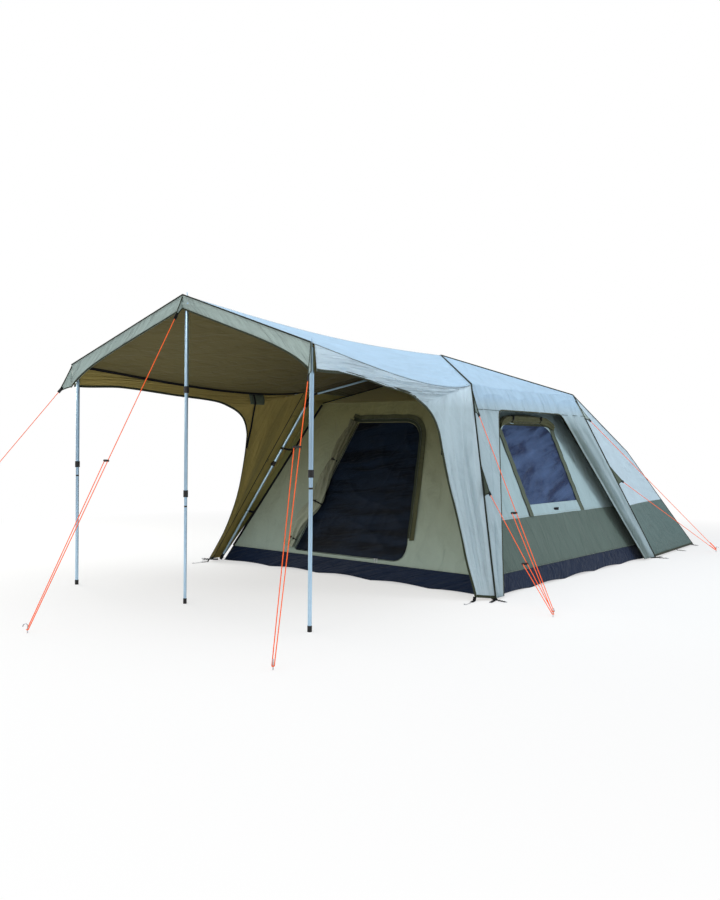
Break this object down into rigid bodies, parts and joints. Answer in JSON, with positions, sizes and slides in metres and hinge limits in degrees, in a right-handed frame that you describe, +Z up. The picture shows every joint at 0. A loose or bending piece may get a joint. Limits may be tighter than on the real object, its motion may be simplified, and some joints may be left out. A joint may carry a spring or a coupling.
{
  "type": "touring tent",
  "caption": "Square touring tent with an umbrella frame, a gabled front awning on telescoping poles, a tub floor, a mesh door, side windows, a rear lobby and guy ropes.",
  "frame": {"origin": "middle of the cabin floor's underside, on the ground", "axes": "+Z up, -Y towards the awning and the door, +Y towards the rear lobby, +X to the right seen from behind the tent looking at +Y"},
  "size_m": [4.6456, 7.7646, 2.3067],
  "materials": {
    "fabric_roof": "matte coated polycotton canvas, pale blue-grey",
    "fabric_fly": "matte coated polycotton canvas, pale grey-green",
    "fabric_inner": "matte canvas, khaki",
    "fabric_inner_side": "matte canvas, pale grey with a darker lower band",
    "mesh_window": "fine insect mesh, navy",
    "mesh_door": "fine insect mesh, dark navy",
    "vinyl_tub": "heavy PVC tub floor, navy",
    "alloy": "satin anodised tube",
    "nylon": "moulded black nylon",
    "cord": "braided orange cord",
    "steel_peg": "plated steel wire"
  },
  "bodies": {
    "tent": {"fly_roof": "fabric_roof", "fly_awning": "fabric_roof", "fly_wing_left": "fabric_fly", "fly_side_left": "fabric_fly", "fly_wing_right": "fabric_fly", "fly_side_right": "fabric_fly", "fly_rear": "fabric_fly", "inner_wall_front": "fabric_inner", "inner_wall_rear": "fabric_inner", "inner_wall_right": "fabric_inner_side", "inner_wall_left": "fabric_inner_side", "window_right": "mesh_window", "window_left": "mesh_window", "inner_roof": "fabric_inner", "tub_floor": "vinyl_tub", "door_roll": "fabric_inner", "hub": "nylon", "rear_hoop": "alloy", "roof_arm_front_left": "alloy", "elbow_front_left": "nylon", "leg_upper_front_left": "alloy", "roof_arm_front_right": "alloy", "elbow_front_right": "nylon", "leg_upper_front_right": "alloy", "roof_arm_rear_left": "alloy", "elbow_rear_left": "nylon", "leg_upper_rear_left": "alloy", "roof_arm_rear_right": "alloy", "elbow_rear_right": "nylon", "leg_upper_rear_right": "alloy", "awning_pole_upper_left": "alloy", "awning_pole_upper_right": "alloy", "awning_pole_upper_centre": "alloy", "guy_rope_awning_left": "cord", "guy_rope_awning_ridge": "cord", "guy_rope_awning_right": "cord", "guy_rope_front_high": "cord", "guy_rope_front_low": "cord", "guy_rope_rear_high": "cord", "guy_rope_rear_low": "cord", "peg_awning_left": "steel_peg", "peg_awning_ridge": "steel_peg", "peg_awning_right": "steel_peg", "peg_front": "steel_peg", "peg_rear": "steel_peg"},
    "leg_front_left": {"leg_lower_front_left": "alloy"},
    "leg_front_right": {"leg_lower_front_right": "alloy"},
    "leg_rear_left": {"leg_lower_rear_left": "alloy"},
    "leg_rear_right": {"leg_lower_rear_right": "alloy"},
    "pole_left_lower": {"awning_pole_lower_left": "alloy"},
    "pole_right_lower": {"awning_pole_lower_right": "alloy"},
    "pole_centre_middle": {"awning_pole_middle_centre": "alloy"},
    "pole_centre_lower": {"awning_pole_lower_centre": "alloy"},
    "door": {"door_mesh": "mesh_door"},
    "runner_awning_left": {"runner_awning_left": "nylon"},
    "runner_awning_ridge": {"runner_awning_ridge": "nylon"},
    "runner_awning_right": {"runner_awning_right": "nylon"},
    "runner_front_high": {"runner_front_high": "nylon"},
    "runner_front_low": {"runner_front_low": "nylon"}
  },
  "joints": [
    {"name": "leg_front_left_telescope", "type": "slide", "parent": "tent", "child": "leg_front_left", "axis": [0.3379, 0.3379, 0.8785], "range_m": [0, 0.45]},
    {"name": "leg_front_right_telescope", "type": "slide", "parent": "tent", "child": "leg_front_right", "axis": [-0.3379, 0.3379, 0.8785], "range_m": [0, 0.45]},
    {"name": "leg_rear_left_telescope", "type": "slide", "parent": "tent", "child": "leg_rear_left", "axis": [0.3379, -0.3379, 0.8785], "range_m": [0, 0.45]},
    {"name": "leg_rear_right_telescope", "type": "slide", "parent": "tent", "child": "leg_rear_right", "axis": [-0.3379, -0.3379, 0.8785], "range_m": [0, 0.45]},
    {"name": "pole_left_telescope", "type": "slide", "parent": "tent", "child": "pole_left_lower", "axis": [0, 0, 1], "range_m": [0, 0.5]},
    {"name": "pole_right_telescope", "type": "slide", "parent": "tent", "child": "pole_right_lower", "axis": [0, 0, 1], "range_m": [0, 0.5]},
    {"name": "pole_centre_upper_telescope", "type": "slide", "parent": "tent", "child": "pole_centre_middle", "axis": [0, 0, 1], "range_m": [0, 0.42]},
    {"name": "pole_centre_lower_telescope", "type": "slide", "parent": "pole_centre_middle", "child": "pole_centre_lower", "axis": [0, 0, 1], "range_m": [0, 0.5]},
    {"name": "door_swing", "type": "hinge", "parent": "tent", "child": "door", "pos_m": [-0.641, -1.49356, 0.1821], "axis": [-0.2477, -0.3885, -0.8875], "range_deg": [0, 85]},
    {"name": "runner_awning_left_slide", "type": "slide", "parent": "tent", "child": "runner_awning_left", "axis": [0.4365, 0.4481, 0.7802], "range_m": [0, 0.48]},
    {"name": "runner_awning_ridge_slide", "type": "slide", "parent": "tent", "child": "runner_awning_ridge", "axis": [-0.0214, 0.4855, 0.874], "range_m": [0, 0.72]},
    {"name": "runner_awning_right_slide", "type": "slide", "parent": "tent", "child": "runner_awning_right", "axis": [-0.2359, 0.3872, 0.8913], "range_m": [0, 0.29]},
    {"name": "runner_front_high_slide", "type": "slide", "parent": "tent", "child": "runner_front_high", "axis": [-0.5685, 0.4081, 0.7143], "range_m": [0, 0.65]},
    {"name": "runner_front_low_slide", "type": "slide", "parent": "tent", "child": "runner_front_low", "axis": [-0.6678, 0.4293, 0.6081], "range_m": [0, 0.48]}
  ]
}
